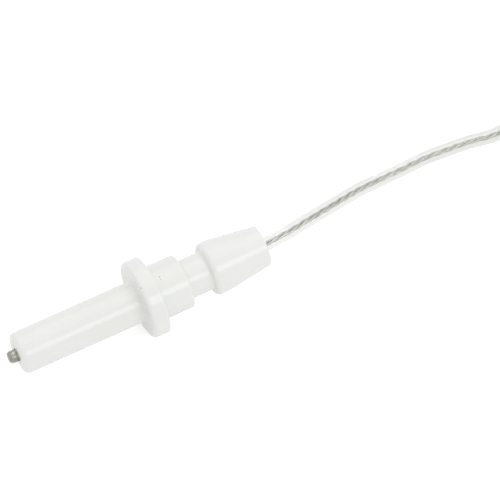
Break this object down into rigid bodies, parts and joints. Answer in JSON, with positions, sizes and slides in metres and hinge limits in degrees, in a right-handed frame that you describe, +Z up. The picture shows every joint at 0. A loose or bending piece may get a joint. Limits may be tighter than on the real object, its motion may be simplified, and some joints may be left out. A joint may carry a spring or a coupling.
{
  "type": "ignition electrode",
  "caption": "Glazed ceramic spark electrode for a gas burner, with a locating flange, clip groove, steel tip and a clear silicone lead ending in a covered push-on terminal.",
  "frame": {"origin": "centre of the flange's front face, the one towards the tip, on the body's axis", "axes": "+X along the body's axis from the tip towards the lead, +Z up from the surface that the flange's rim lies on, +Y completes the right-handed frame"},
  "size_m": [0.1639, 0.0209, 0.0132],
  "materials": {
    "glaze": "gloss",
    "rod_steel": "satin",
    "cement": "matte",
    "ferrule": "satin",
    "tinned_wire": "satin",
    "silicone": "gloss",
    "sealant": "satin",
    "lead": "gloss",
    "tie": "satin",
    "terminal_sheet": "satin",
    "cover": "gloss"
  },
  "bodies": {
    "electrode": {"insulator": "glaze", "electrode_rod": "rod_steel", "rod_cement": "cement", "splice_ferrule": "ferrule", "splice_strands": "tinned_wire", "inner_jacket": "silicone", "inner_core": "tinned_wire", "rear_sealant": "sealant", "lead_run": "lead", "lead_hank": "lead", "lead_end": "lead", "hank_tie": "tie", "terminal": "terminal_sheet", "terminal_strands": "tinned_wire"},
    "cover": {"terminal_cover": "cover"}
  },
  "joints": [
    {"name": "cover_slide", "type": "slide", "parent": "electrode", "child": "cover", "axis": [-1, 0, 0], "range_m": [0, 0.009]}
  ]
}
